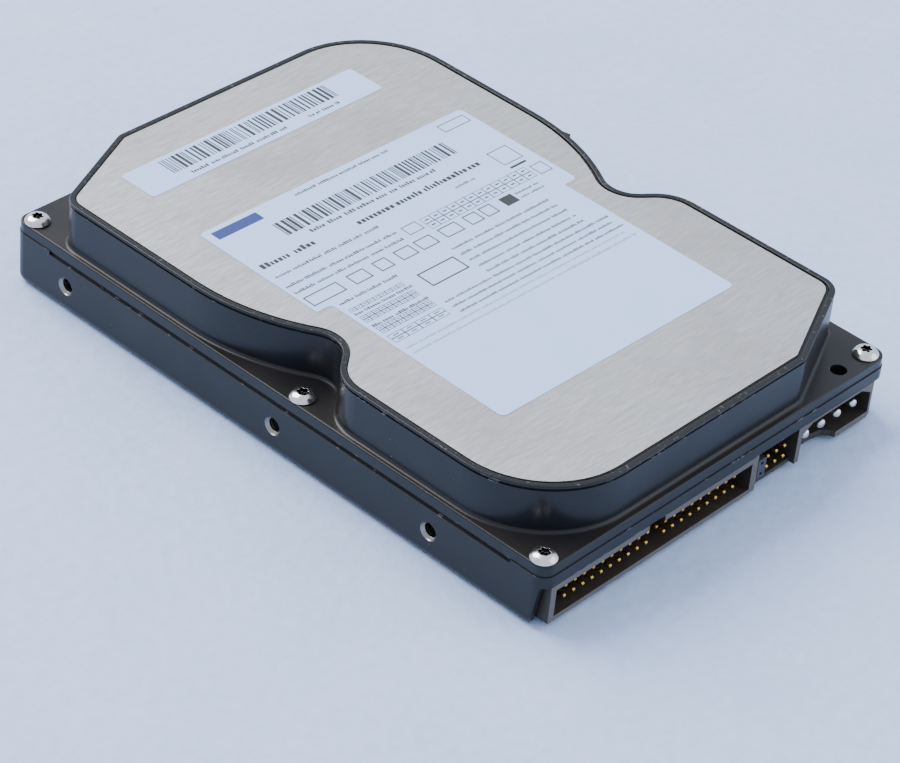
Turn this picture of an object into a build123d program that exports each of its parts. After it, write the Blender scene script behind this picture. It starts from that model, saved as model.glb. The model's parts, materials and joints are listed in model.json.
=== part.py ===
"""A 3.5 inch hard disk drive with a parallel interface, one platter and a bonded damping plate.

Frame: X across the width, Y along the length with the connectors at -Y, Z up.
The origin is under the middle of the drive, at the level of its bottom pads.
"""

from build123d import *
import os
from math import cos, radians, sin

os.makedirs("parts", exist_ok=True)

# ---------------------------------------------------------------- driving dimensions (mm)
WIDTH = 101.6
LENGTH = 146.0
HEIGHT = 25.4  # top of the rim around the plate
SEAM_Z = 12.3  # top face of the base casting
FLANGE_T = 2.35  # thickness of the cover's flange
DECK_BOTTOM_Z = 4.8
DECK_TOP_Z = 6.6
RAIL_W = 6.8
DOME_X = -0.5  # middle of the raised part of the cover
DOME_Y = -0.3  # the cover's rim sits this far towards the connectors of the plate

# outline of the silver plate on top: half width, half length and its details
PLATE_HALF_W = 47.2
PLATE_HALF_L = 69.1
CORNER_R = 19.5
CLIP_X = 24.2  # where the two clipped corners meet the ends
CLIP_Y = 58.5  # and the long sides
WAIST_DEPTH = 11.2
WAIST_Y = -9.4
WAIST_TOP_Y = 8.6
WAIST_BOTTOM_Y = -18.1
WAIST_HUG_R = 48.6  # follows the platter
NOSE_R = 8.0

WALL_T = 1.6  # cover wall, outside the plate's outline
RIM_PROUD = 0.1
WALL_TOP_Z = 24.9
UNDERCUT_T, UNDERCUT_DEPTH = 0.6, 0.35
PLATE_GAP = 0.45  # dark gap between the plate and the rim
POCKET_Z = 24.7
PLATE_T = 0.5
LABEL_T = 0.12
ROOF_Z = 23.2

# standard fixing holes of the form factor
HOLE_R = 1.45
SINK_R = 2.05  # countersink at the mouth of the side holes
SIDE_HOLE_Z = 6.35
SIDE_HOLE_Y = (-44.5, -2.9, 57.1)
SIDE_HOLE_DEPTH = 3.8
BOTTOM_HOLE_X = 47.625
BOTTOM_HOLE_Y = (-31.72, 12.73, 44.48)
BOTTOM_HOLE_DEPTH = 5.0

# cover screws: near the four corners and in the two waists
SCREW_Y = (-69.8, -7.7, 69.0)
SCREW_X = (DOME_X - 47.4, DOME_X + 47.4)
SCREW_R = 1.15
SCREW_HEAD_R = 2.7
SCREW_HEAD_H = 1.42
SCREW_BOTTOM_Z = 10.0
SCREW_HOLE_Z = 9.0  # opens into the connector bay at the near corners

# platter stack
SPIN_X = DOME_X
SPIN_Y = 21.9
PLATTER_R = 47.5
PLATTER_T = 1.27
PLATTER_Z = 9.6
PLATTER_BORE_R = 12.5
DISK_WELL_R = 48.1

# actuator
PIVOT_X = -11.0
PIVOT_Y = -33.2
ARM_REACH = 52.0
PARK_ANGLE = 58.3  # degrees from +X to the arm when the heads rest on the landing zone
SWING = 29.0
COIL_FROM_ARM = 160.0  # degrees from the arm to the coil
COIL_Z = 9.6
COIL_T = 1.5

# circuit board
BOARD_Z = 1.9
BOARD_T = 1.6
BOARD_HALF_W = 43.3
BOARD_Y = (-63.2, 12.5)
CHIP_BOTTOM_Z = 0.5

# connector block
BLOCK_FRONT_Y = -73.0  # flush with the end of the casting
BLOCK_BACK_Y = -63.5
BLOCK_Z = (1.15, 9.7)
IDE_X = (-48.5, 10.9)
POWER_X = (23.2, 47.0)
PIN_PITCH = 2.54
PIN_SIDE = 0.64
PIN_TIP_Y = -72.1
IDE_FIRST_X = -43.2
IDE_COLUMNS = 20
IDE_LOW_Z = 4.3
MISSING_COLUMN = 10  # the keyed pin of the lower row
JUMPER_FIRST_X = 12.45
JUMPER_TIP_Y = -72.4
JUMPER_COLUMNS = 4
POWER_FIRST_X = 27.6
POWER_PITCH = 5.08
POWER_PIN_R = 1.05
POWER_Z = 5.6
POWER_TIP_Y = -72.2

# worked out from the driving dimensions
HALF_W = WIDTH / 2
HALF_L = LENGTH / 2
FLANGE_Z = SEAM_Z + FLANGE_T
BOARD_TOP_Z = BOARD_Z + BOARD_T
PLATE_TOP_Z = POCKET_Z + PLATE_T
PLATTER_TOP_Z = PLATTER_Z + PLATTER_T
BAY_HALF_W = HALF_W - RAIL_W
FRONT_Y = -HALF_L - 1  # cuts that leave by the connector end run to here


def plate_outline(grow=0.0, shift=0.0):
    """The silver plate's outline, moved outward by grow and along Y by shift."""
    w, l = PLATE_HALF_W, PLATE_HALF_L
    corners = [
        ((-CLIP_X, l), 1.5),
        ((w, l), CORNER_R),
        ((w, WAIST_TOP_Y), WAIST_HUG_R),
        ((w - WAIST_DEPTH, WAIST_Y), NOSE_R),
        ((w, WAIST_BOTTOM_Y), NOSE_R),
        ((w, -CLIP_Y), 3.5),
        ((CLIP_X, -l), 1.5),
        ((-w, -l), CORNER_R),
        ((-w, WAIST_BOTTOM_Y), NOSE_R),
        ((-w + WAIST_DEPTH, WAIST_Y), NOSE_R),
        ((-w, WAIST_TOP_Y), WAIST_HUG_R),
        ((-w, CLIP_Y), 3.5),
    ]
    points = [(DOME_X + x, y + shift) for (x, y), _ in corners]
    with BuildSketch(mode=Mode.PRIVATE) as outline:
        with BuildLine():
            FilletPolyline(*points, radius=[r for _, r in corners], close=True)
        make_face()
        if grow:
            offset(amount=grow)
    return outline.sketch


def at(radius, angle):
    """A point at this distance and angle (degrees) from the sketch's origin."""
    return (radius * cos(radians(angle)), radius * sin(radians(angle)))


def sector(inner_r, outer_r, start, end):
    """A flat ring sector about the origin, between two angles."""
    middle = (start + end) / 2
    with BuildSketch(mode=Mode.PRIVATE) as wedge:
        with BuildLine():
            Line(at(inner_r, start), at(outer_r, start))
            ThreePointArc(at(outer_r, start), at(outer_r, middle), at(outer_r, end))
            Line(at(outer_r, end), at(inner_r, end))
            ThreePointArc(at(inner_r, end), at(inner_r, middle), at(inner_r, start))
        make_face()
    return wedge.sketch


def around_pivot(z, angle=0.0):
    """A plane across the actuator's pivot axis, its X axis pointing along the angle."""
    return Plane(origin=(PIVOT_X, PIVOT_Y, z), x_dir=(*at(1, angle), 0), z_dir=(0, 0, 1))


def around_spindle(z):
    """A plane across the spindle axis."""
    return Plane(origin=(SPIN_X, SPIN_Y, z))


def ring(outer_r, inner_r):
    """A ring about the sketch's current places."""
    Circle(outer_r)
    Circle(inner_r, mode=Mode.SUBTRACT)


def star_socket(size):
    """A six-lobed screwdriver socket's outline, at the sketch's current places."""
    RegularPolygon(size * 0.86, 6)
    with PolarLocations(size * 0.72, 6):
        Circle(size * 0.26)


cover_screw_places = [(x, y) for x in SCREW_X for y in SCREW_Y]
bottom_hole_places = [(x, y) for x in (-BOTTOM_HOLE_X, BOTTOM_HOLE_X) for y in BOTTOM_HOLE_Y]
board_screw_places = [(-39.5, -54.0), (39.5, -54.0), (-39.5, 8.5), (39.5, 8.5), (3.0, -27.0)]

# ---------------------------------------------------------------- base casting
BAY_BACK_Y = -59.3  # wall between the connector bay and the sealed space
END_WALL_Y = -57.8
BAY_SIDE = 48.8  # the bay is wider than the board space
BAY_MOUTH_SIDE, BAY_MOUTH_Y = 49.3, -66.5  # and wider still at its mouth
LIP_Z = 9.8  # underside of the lip over the connectors
FAR_WALL_Y = 67.0
GASKET_IN, GASKET_OUT = 1.4, 2.0  # outside the plate's outline
GASKET_Z = 11.7
SEALED_GROW = -2.0  # leaves a wall between the sealed space and the side holes
GROOVE_DEPTH = 0.5
GROOVE_Z = 11.5
GROOVE_Y = (-64.5, 62.0)
BOARD_SCREW_R = 0.9
BREATHER_X, BREATHER_Y = 30.0, -44.0
PORT_X, PORT_Y = 7.0, -50.5  # opening in the deck for the head connector
PORT_W, PORT_L = 14.0, 4.6
MOTOR_BORE_R = 13.0
RELIEF_Z = 0.6
RAIL_CUT_Y = -69.3
RAIL_TOP_Y = -71.65  # end of the rails under the lip
RAIL_SLANT_END = (-70.45, 0.9)
RAIL_FOOT_END = (-67.4, -1.2)
relief_spans = [(-63.0, -38.0), (-25.0, 6.0), (19.0, 38.0), (51.0, 66.0)]

gasket_outer = plate_outline(GASKET_OUT)
gasket_inner = plate_outline(GASKET_IN)
sealed_space = plate_outline(SEALED_GROW)

with BuildPart() as base_casting:
    with BuildSketch():
        RectangleRounded(WIDTH, LENGTH, 3)
    extrude(amount=SEAM_Z)
    far_bottom = base_casting.edges().filter_by(Axis.X).group_by(Axis.Z)[0].group_by(Axis.Y)[-1]
    fillet(far_bottom, radius=2.0)
    # below the lip the rails end in a slant with a rounded foot
    with BuildSketch(Plane.YZ):
        with BuildLine():
            FilletPolyline(
                (FRONT_Y, LIP_Z), (RAIL_TOP_Y, LIP_Z), RAIL_SLANT_END, RAIL_FOOT_END,
                (FRONT_Y, RAIL_FOOT_END[1]),
                radius=[0, 0.4, 1.8, 0, 0], close=True,
            )
        make_face()
    extrude(amount=HALF_W, both=True, mode=Mode.SUBTRACT)
    # connector bay, open to the front and to the board
    with BuildSketch():
        with Locations((0, (BAY_BACK_Y - HALF_L - 1) / 2)):
            Rectangle(2 * BAY_SIDE, HALF_L + 1 + BAY_BACK_Y)
        with Locations((0, (BAY_MOUTH_Y - HALF_L - 1) / 2)):
            Rectangle(2 * BAY_MOUTH_SIDE, HALF_L + 1 + BAY_MOUTH_Y)
        # the rail beside the power socket ends further back
        with Locations((HALF_W, (RAIL_CUT_Y - HALF_L - 1) / 2)):
            Rectangle(2 * (HALF_W - BAY_MOUTH_SIDE + 1), HALF_L + 1 + RAIL_CUT_Y)
    extrude(amount=LIP_Z, mode=Mode.SUBTRACT)
    # board space under the deck
    with BuildSketch():
        with Locations((0, (BAY_BACK_Y + FAR_WALL_Y) / 2)):
            RectangleRounded(2 * BAY_HALF_W, FAR_WALL_Y - BAY_BACK_Y, 3)
        with Locations((0, BAY_BACK_Y + 3)):
            Rectangle(2 * BAY_HALF_W, 6)
    extrude(amount=DECK_BOTTOM_Z, mode=Mode.SUBTRACT)
    # stiffening ribs under the deck, around the motor
    with BuildSketch(around_spindle(DECK_BOTTOM_Z - 1.2)):
        ring(MOTOR_BORE_R + 5.5, MOTOR_BORE_R + 3.2)
        with PolarLocations(30.5, 9, start_angle=10, angular_range=160):
            Rectangle(25, 1.4)
    extrude(amount=1.2)
    # sealed space above the deck: disk well and actuator space
    with BuildSketch(Plane.XY.offset(DECK_TOP_Z)):
        add(sealed_space)
        with Locations((0, END_WALL_Y + HALF_L)):
            Rectangle(WIDTH, LENGTH, mode=Mode.INTERSECT)
        with Locations((SPIN_X, SPIN_Y)):
            Circle(DISK_WELL_R)
    extrude(amount=HEIGHT, mode=Mode.SUBTRACT)
    # gasket groove in the top face
    with BuildSketch(Plane.XY.offset(GASKET_Z)):
        add(gasket_outer)
        add(gasket_inner, mode=Mode.SUBTRACT)
    extrude(amount=1, mode=Mode.SUBTRACT)
    # long groove under the cover's edge on both sides
    with BuildSketch(Plane.XY.offset(GROOVE_Z)):
        for side in (-1, 1):
            with Locations((side * HALF_W, sum(GROOVE_Y) / 2)):
                Rectangle(2 * GROOVE_DEPTH, GROOVE_Y[1] - GROOVE_Y[0])
    extrude(amount=1, mode=Mode.SUBTRACT)
    # the rails rest on pads, relieved between them
    with BuildSketch():
        for low, high in relief_spans:
            for side in (-1, 1):
                with Locations((side * HALF_W, (low + high) / 2)):
                    Rectangle(6.0, high - low)
    extrude(amount=RELIEF_Z, mode=Mode.SUBTRACT)
    # holes: sides, bottom, cover screws, board screws
    for side in (-1, 1):
        with Locations(*[
            Plane(origin=(side * HALF_W, y, SIDE_HOLE_Z), z_dir=(side, 0, 0)) for y in SIDE_HOLE_Y
        ]):
            CounterSinkHole(HOLE_R, SINK_R, depth=SIDE_HOLE_DEPTH)
    with BuildSketch():
        with Locations(*bottom_hole_places):
            Circle(HOLE_R)
    extrude(amount=BOTTOM_HOLE_DEPTH, mode=Mode.SUBTRACT)
    with BuildSketch(Plane.XY.offset(SCREW_HOLE_Z)):
        with Locations(*cover_screw_places):
            Circle(SCREW_R + 0.05)
    extrude(amount=HEIGHT, mode=Mode.SUBTRACT)
    with BuildSketch(Plane.XY.offset(BOARD_TOP_Z)):
        with Locations(*board_screw_places):
            Circle(2.6)
    extrude(amount=DECK_BOTTOM_Z - BOARD_TOP_Z)
    with BuildSketch(Plane.XY.offset(BOARD_TOP_Z)):
        with Locations(*board_screw_places):
            Circle(BOARD_SCREW_R + 0.05)
    extrude(amount=2.4, mode=Mode.SUBTRACT)
    # openings in the deck: motor, head connector, breather
    with BuildSketch():
        with Locations((SPIN_X, SPIN_Y)):
            Circle(MOTOR_BORE_R)
        with Locations((PORT_X, PORT_Y)):
            RectangleRounded(PORT_W, PORT_L, 0.8)
        with Locations((BREATHER_X, BREATHER_Y)):
            Circle(0.8)
    extrude(amount=HEIGHT, mode=Mode.SUBTRACT)

base_casting.part.label = "base_casting"
export_step(base_casting.part, "parts/base_casting.step")

# ---------------------------------------------------------------- cover gasket
GASKET_GAP = 0.05
gasket_rim_outer = plate_outline(GASKET_OUT - GASKET_GAP)
gasket_rim_inner = plate_outline(GASKET_IN + GASKET_GAP)

with BuildPart() as cover_gasket:
    with BuildSketch(Plane.XY.offset(GASKET_Z)):
        add(gasket_rim_outer)
        add(gasket_rim_inner, mode=Mode.SUBTRACT)
    extrude(amount=SEAM_Z - GASKET_Z)

cover_gasket.part.label = "cover_gasket"
export_step(cover_gasket.part, "parts/cover_gasket.step")

# ---------------------------------------------------------------- top cover
FLANGE_HALF_W = 50.6
FLANGE_HALF_L = 72.8
FLANGE_EDGE_R = 0.35
FOOT_R = 0.8
RIM_EDGE_R = 0.25
SPARE_HOLE = (38.6, -69.5)
SPARE_HOLE_R = 1.75
PIVOT_SCREW_R = 1.5
TAB_Y = (12.3, 20.0)
TAB_Z = 20.0
TAB_PROUD = 0.9
TAB_ROOT = 0.8

wall_face = plate_outline(WALL_T, DOME_Y)
rim_face = plate_outline(WALL_T + RIM_PROUD, DOME_Y)
undercut_face = plate_outline(WALL_T - UNDERCUT_DEPTH, DOME_Y)
pocket_face = plate_outline(PLATE_GAP, DOME_Y)
inner_face = plate_outline(-0.2)

with BuildPart() as top_cover:
    with BuildSketch(Plane.XY.offset(SEAM_Z)):
        RectangleRounded(2 * FLANGE_HALF_W, 2 * FLANGE_HALF_L, 2.8)
    extrude(amount=FLANGE_T)
    fillet(top_cover.edges().group_by(Axis.Z)[-1], radius=FLANGE_EDGE_R)
    outer_edge = top_cover.edges().group_by(Axis.Z)[-1]
    with BuildSketch(Plane.XY.offset(FLANGE_Z)):
        add(wall_face)
    extrude(amount=WALL_TOP_Z - FLANGE_Z)
    # the foot of the wall turns into the flange
    flat_edges = [e for e in top_cover.edges() if abs(e.center().Z - FLANGE_Z) < 0.01]
    foot = [e for e in flat_edges if e not in outer_edge]
    fillet(foot, radius=FOOT_R)
    # raised rim around the plate, with an undercut below it
    with BuildSketch(Plane.XY.offset(WALL_TOP_Z - UNDERCUT_T)):
        add(wall_face)
        add(undercut_face, mode=Mode.SUBTRACT)
    extrude(amount=UNDERCUT_T, mode=Mode.SUBTRACT)
    with BuildSketch(Plane.XY.offset(WALL_TOP_Z)):
        add(rim_face)
    extrude(amount=HEIGHT - WALL_TOP_Z)
    with BuildSketch(Plane.XY.offset(POCKET_Z)):
        add(pocket_face)
    extrude(amount=1, mode=Mode.SUBTRACT)
    fillet(top_cover.edges().group_by(Axis.Z)[-1], radius=RIM_EDGE_R)
    # hollow inside
    with BuildSketch(Plane.XY.offset(SEAM_Z)):
        add(inner_face)
    extrude(amount=ROOF_Z - SEAM_Z, mode=Mode.SUBTRACT)
    # small wedge on the +X wall, beside the waist
    with BuildSketch(Plane.XY.offset(TAB_Z)):
        wall_x = DOME_X + PLATE_HALF_W + WALL_T
        with BuildLine():
            Polyline(
                (wall_x - TAB_ROOT, TAB_Y[1]), (wall_x + TAB_PROUD, TAB_Y[0]),
                (wall_x - TAB_ROOT, TAB_Y[0]), close=True,
            )
        make_face()
    extrude(amount=WALL_TOP_Z - UNDERCUT_T - TAB_Z)
    # holes for the cover screws, a spare hole and the pivot screw
    with BuildSketch(Plane.XY.offset(SEAM_Z)):
        with Locations(*cover_screw_places):
            Circle(SCREW_R + 0.25)
        with Locations(SPARE_HOLE):
            Circle(SPARE_HOLE_R)
        with Locations((PIVOT_X, PIVOT_Y)):
            Circle(PIVOT_SCREW_R + 0.1)
    extrude(amount=HEIGHT, mode=Mode.SUBTRACT)

top_cover.part.label = "top_cover"
export_step(top_cover.part, "parts/top_cover.step")

# ---------------------------------------------------------------- plate and labels on top
MAIN_LABEL_TURN = -0.7  # degrees, stuck on a little askew
MAIN_LABEL_AT = (-0.4, -6.3)
MAIN_TOP_W, MAIN_TOP_L = 73.8, 33.6
MAIN_LOW_W = 66.2
MAIN_LENGTH = 79.2
SERIAL_AT = (-2.3, 54.0)
SERIAL_W, SERIAL_L = 65.2, 9.9
LABEL_CORNER_R = 1.2
SCREW_COVER_R = 3.0

plate_face = plate_outline()

with BuildPart() as damping_plate:
    with BuildSketch(Plane.XY.offset(POCKET_Z)):
        add(plate_face)
        with Locations((PIVOT_X, PIVOT_Y)):
            Circle(SCREW_COVER_R + 0.2, mode=Mode.SUBTRACT)
    extrude(amount=PLATE_T)

damping_plate.part.label = "damping_plate"
export_step(damping_plate.part, "parts/damping_plate.step")

label_plane = Plane(
    origin=(*MAIN_LABEL_AT, PLATE_TOP_Z), x_dir=(*at(1, MAIN_LABEL_TURN), 0), z_dir=(0, 0, 1)
)
label_top = MAIN_LENGTH / 2
label_step = label_top - MAIN_TOP_L

with BuildPart() as main_label:
    with BuildSketch(label_plane):
        with BuildLine():
            FilletPolyline(
                (-MAIN_TOP_W / 2, label_top),
                (MAIN_TOP_W / 2, label_top),
                (MAIN_TOP_W / 2, label_step),
                (MAIN_LOW_W / 2, label_step),
                (MAIN_LOW_W / 2, -label_top),
                (-MAIN_LOW_W / 2, -label_top),
                (-MAIN_LOW_W / 2, label_step),
                (-MAIN_TOP_W / 2, label_step),
                radius=[LABEL_CORNER_R, LABEL_CORNER_R, LABEL_CORNER_R, 0.3] * 2,
                close=True,
            )
        make_face()
    extrude(amount=LABEL_T)

main_label.part.label = "main_label"
export_step(main_label.part, "parts/main_label.step")

with BuildPart() as serial_label:
    with BuildSketch(Plane.XY.offset(PLATE_TOP_Z)):
        with Locations(SERIAL_AT):
            RectangleRounded(SERIAL_W, SERIAL_L, 0.8)
    extrude(amount=LABEL_T)

serial_label.part.label = "serial_label"
export_step(serial_label.part, "parts/serial_label.step")

# ---------------------------------------------------------------- cover screws
SOCKET_SIZE, SOCKET_DEPTH = 1.25, 1.0

with BuildPart(mode=Mode.PRIVATE) as cover_screw:
    # lens head with a six-lobed socket
    with BuildSketch(Plane.XZ):
        with BuildLine():
            Line((0, 0), (SCREW_HEAD_R - 0.15, 0))
            ThreePointArc(
                (SCREW_HEAD_R - 0.15, 0), (SCREW_HEAD_R, 0.22), (SCREW_HEAD_R - 0.1, 0.5)
            )
            ThreePointArc(
                (SCREW_HEAD_R - 0.1, 0.5), (2.1, 1.08), (SOCKET_SIZE, SCREW_HEAD_H)
            )
            Polyline((SOCKET_SIZE, SCREW_HEAD_H), (0, SCREW_HEAD_H), (0, 0))
        make_face()
    revolve(axis=Axis.Z)
    with BuildSketch(Plane.XY.offset(SCREW_HEAD_H)):
        star_socket(SOCKET_SIZE)
    extrude(amount=-SOCKET_DEPTH, mode=Mode.SUBTRACT)
    with BuildSketch():
        Circle(SCREW_R)
    extrude(amount=SCREW_BOTTOM_Z - FLANGE_Z)

with BuildPart() as cover_screws:
    with Locations(*[(x, y, FLANGE_Z) for x, y in cover_screw_places]):
        add(cover_screw.part)

cover_screws.part.label = "cover_screws"
export_step(cover_screws.part, "parts/cover_screws.step")

# ---------------------------------------------------------------- spindle motor, fixed half
MOTOR_FLANGE_R = 15.6
MOTOR_BOTTOM_Z = 2.2
SLEEVE_R, SLEEVE_BORE_R = 4.2, 2.5
SLEEVE_TOP_Z = 11.0
STATOR_Z = 6.9
STATOR_T = 1.6
TEETH = 9

with BuildPart() as motor_base:
    with BuildSketch(around_spindle(MOTOR_BOTTOM_Z)):
        ring(MOTOR_FLANGE_R, SLEEVE_R)
    extrude(amount=DECK_BOTTOM_Z - MOTOR_BOTTOM_Z)
    fillet(motor_base.edges().filter_by(GeomType.CIRCLE).group_by(Axis.Z)[0].sort_by(
        SortBy.RADIUS)[-1], radius=0.6)
    with BuildSketch(around_spindle(DECK_BOTTOM_Z)):
        ring(MOTOR_BORE_R - 0.05, SLEEVE_R)
    extrude(amount=0.8)
    # shallow ring groove on the underside
    with BuildSketch(around_spindle(MOTOR_BOTTOM_Z)):
        ring(11.6, 8.4)
    extrude(amount=0.5, mode=Mode.SUBTRACT)

motor_base.part.label = "motor_base"
export_step(motor_base.part, "parts/motor_base.step")

with BuildPart() as bearing_sleeve:
    with BuildSketch(around_spindle(MOTOR_BOTTOM_Z)):
        ring(SLEEVE_R, SLEEVE_BORE_R)
    extrude(amount=SLEEVE_TOP_Z - MOTOR_BOTTOM_Z)
    with BuildSketch(around_spindle(MOTOR_BOTTOM_Z)):
        Circle(SLEEVE_BORE_R)
    extrude(amount=0.6)

bearing_sleeve.part.label = "bearing_sleeve"
export_step(bearing_sleeve.part, "parts/bearing_sleeve.step")

with BuildPart() as stator_core:
    with BuildSketch(around_spindle(STATOR_Z)):
        ring(5.6, SLEEVE_R)
        with PolarLocations(7.2, TEETH):
            Rectangle(4.4, 1.1)
    extrude(amount=STATOR_T)
    with BuildSketch(around_spindle(STATOR_Z)):
        ring(9.4, 8.9)
        with PolarLocations(9.2, TEETH, start_angle=180 / TEETH):
            Rectangle(1.4, 1.2, mode=Mode.SUBTRACT)
    extrude(amount=STATOR_T)

stator_core.part.label = "stator_core"
export_step(stator_core.part, "parts/stator_core.step")

with BuildPart() as stator_windings:
    with BuildSketch(around_spindle(STATOR_Z - 0.5)):
        with PolarLocations(7.4, TEETH):
            RectangleRounded(2.3, 2.1, 0.5)
    extrude(amount=STATOR_T + 1.0)
    with BuildSketch(around_spindle(STATOR_Z)):
        with PolarLocations(7.2, TEETH):
            Rectangle(4.6, 1.1)
    extrude(amount=STATOR_T, mode=Mode.SUBTRACT)

stator_windings.part.label = "stator_windings"
export_step(stator_windings.part, "parts/stator_windings.step")

# ---------------------------------------------------------------- spindle, turning half
HUB_FLANGE_R = 14.6
HUB_FLANGE_Z = 8.5
HUB_TOP_Z = 13.4
HUB_SKIRT_Z = 6.2
SHAFT_R = SLEEVE_BORE_R - 0.05
MAGNET_IN_R, MAGNET_OUT_R = 9.8, 11.2
SPACER_T = 1.6
CLAMP_T = 0.9

with BuildPart() as spindle_hub:
    with BuildSketch(around_spindle(HUB_SKIRT_Z)):
        ring(12.45, MAGNET_OUT_R)
    extrude(amount=HUB_TOP_Z - HUB_SKIRT_Z)
    with BuildSketch(around_spindle(HUB_FLANGE_Z)):
        ring(HUB_FLANGE_R, 12.4)
    extrude(amount=PLATTER_Z - HUB_FLANGE_Z)
    with BuildSketch(around_spindle(SLEEVE_TOP_Z + 0.4)):
        ring(12.0, SHAFT_R)
    extrude(amount=HUB_TOP_Z - SLEEVE_TOP_Z - 0.4)
    with BuildSketch(around_spindle(HUB_TOP_Z)):
        with PolarLocations(8.6, 6):
            Circle(0.85)
    extrude(amount=-1.6, mode=Mode.SUBTRACT)

spindle_hub.part.label = "spindle_hub"
export_step(spindle_hub.part, "parts/spindle_hub.step")

with BuildPart() as spindle_shaft:
    with BuildSketch(around_spindle(MOTOR_BOTTOM_Z + 0.9)):
        Circle(SHAFT_R)
    extrude(amount=HUB_TOP_Z - MOTOR_BOTTOM_Z - 0.9)
    chamfer(spindle_shaft.edges().filter_by(GeomType.CIRCLE), length=0.2)

spindle_shaft.part.label = "spindle_shaft"
export_step(spindle_shaft.part, "parts/spindle_shaft.step")

with BuildPart() as rotor_magnet:
    with BuildSketch(around_spindle(HUB_SKIRT_Z + 0.3)):
        ring(MAGNET_OUT_R, MAGNET_IN_R)
    extrude(amount=3.4)

rotor_magnet.part.label = "rotor_magnet"
export_step(rotor_magnet.part, "parts/rotor_magnet.step")

with BuildPart() as platter:
    with BuildSketch(around_spindle(PLATTER_Z)):
        ring(PLATTER_R, PLATTER_BORE_R)
    extrude(amount=PLATTER_T)
    chamfer(platter.edges().filter_by(GeomType.CIRCLE), length=0.15)

platter.part.label = "platter"
export_step(platter.part, "parts/platter.step")

with BuildPart() as platter_spacer:
    with BuildSketch(around_spindle(PLATTER_TOP_Z)):
        ring(14.6, PLATTER_BORE_R)
    extrude(amount=SPACER_T)

platter_spacer.part.label = "platter_spacer"
export_step(platter_spacer.part, "parts/platter_spacer.step")

CLAMP_Z = PLATTER_TOP_Z + SPACER_T

with BuildPart() as disk_clamp:
    # springy dished ring that bears on the spacer and is screwed to the hub
    with BuildSketch(around_spindle(CLAMP_Z)):
        ring(14.4, PLATTER_BORE_R)
    extrude(amount=HUB_TOP_Z - CLAMP_Z + CLAMP_T)
    with BuildSketch(around_spindle(HUB_TOP_Z)):
        ring(13.4, 4.6)
    extrude(amount=CLAMP_T)
    with BuildSketch(around_spindle(HUB_TOP_Z)):
        with PolarLocations(8.6, 6):
            Circle(0.95)
        with PolarLocations(8.6, 6, start_angle=30):
            Circle(0.7)
    extrude(amount=CLAMP_T, mode=Mode.SUBTRACT)

disk_clamp.part.label = "disk_clamp"
export_step(disk_clamp.part, "parts/disk_clamp.step")

with BuildPart() as clamp_screws:
    with BuildSketch(around_spindle(HUB_TOP_Z + CLAMP_T)):
        with PolarLocations(8.6, 6):
            Circle(1.6)
    extrude(amount=0.8)
    with BuildSketch(around_spindle(HUB_TOP_Z + CLAMP_T + 0.8)):
        with PolarLocations(8.6, 6):
            star_socket(0.75)
    extrude(amount=-0.5, mode=Mode.SUBTRACT)
    with BuildSketch(around_spindle(HUB_TOP_Z - 1.5)):
        with PolarLocations(8.6, 6):
            Circle(0.8)
    extrude(amount=1.5 + CLAMP_T)

clamp_screws.part.label = "clamp_screws"
export_step(clamp_screws.part, "parts/clamp_screws.step")

# ---------------------------------------------------------------- actuator, fixed half
PIVOT_R = 2.4
PIVOT_TOP_Z = ROOF_Z - 0.05
YOKE_T = 1.5
MAGNET_T = 1.0
COIL_GAP = 0.4
COIL_SIDE = PARK_ANGLE - SWING / 2 + COIL_FROM_ARM  # middle of the coil's travel, seen from the pivot
YOKE_IN_R, YOKE_OUT_R = 11.5, 26.0
YOKE_HALF_ANGLE = 45.0
MAGNET_HALF_ANGLE = 32.0
POST_R, POST_ANGLE = 23.0, 41.2
LOWER_YOKE_Z = DECK_TOP_Z
UPPER_MAGNET_Z = COIL_Z + COIL_T + COIL_GAP
UPPER_YOKE_Z = UPPER_MAGNET_Z + MAGNET_T
post_places = [at(POST_R, -POST_ANGLE), at(POST_R, POST_ANGLE)]

with BuildPart() as pivot_shaft:
    with BuildSketch(around_pivot(DECK_TOP_Z)):
        Circle(PIVOT_R)
    extrude(amount=PIVOT_TOP_Z - DECK_TOP_Z)
    with BuildSketch(around_pivot(DECK_TOP_Z)):
        Circle(4.6)
    extrude(amount=1.0)
    with BuildSketch(around_pivot(PIVOT_TOP_Z)):
        Circle(PIVOT_SCREW_R)
    extrude(amount=-5.0, mode=Mode.SUBTRACT)

pivot_shaft.part.label = "pivot_shaft"
export_step(pivot_shaft.part, "parts/pivot_shaft.step")

with BuildPart() as pivot_screw:
    with BuildSketch(around_pivot(POCKET_Z)):
        Circle(SCREW_COVER_R)
    extrude(amount=PLATE_T - 0.1)
    with BuildSketch(around_pivot(PIVOT_TOP_Z - 4.5)):
        Circle(PIVOT_SCREW_R - 0.05)
    extrude(amount=POCKET_Z - PIVOT_TOP_Z + 4.5)

pivot_screw.part.label = "pivot_screw"
export_step(pivot_screw.part, "parts/pivot_screw.step")

with BuildPart() as lower_yoke:
    with BuildSketch(around_pivot(LOWER_YOKE_Z, COIL_SIDE)):
        add(sector(YOKE_IN_R, YOKE_OUT_R, -YOKE_HALF_ANGLE, YOKE_HALF_ANGLE))
    extrude(amount=YOKE_T)

lower_yoke.part.label = "lower_yoke"
export_step(lower_yoke.part, "parts/lower_yoke.step")

with BuildPart() as lower_magnet:
    with BuildSketch(around_pivot(LOWER_YOKE_Z + YOKE_T, COIL_SIDE)):
        add(sector(YOKE_IN_R + 1, YOKE_OUT_R - 1.5, -MAGNET_HALF_ANGLE, MAGNET_HALF_ANGLE))
    extrude(amount=COIL_Z - COIL_GAP - LOWER_YOKE_Z - YOKE_T)

lower_magnet.part.label = "lower_magnet"
export_step(lower_magnet.part, "parts/lower_magnet.step")

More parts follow.
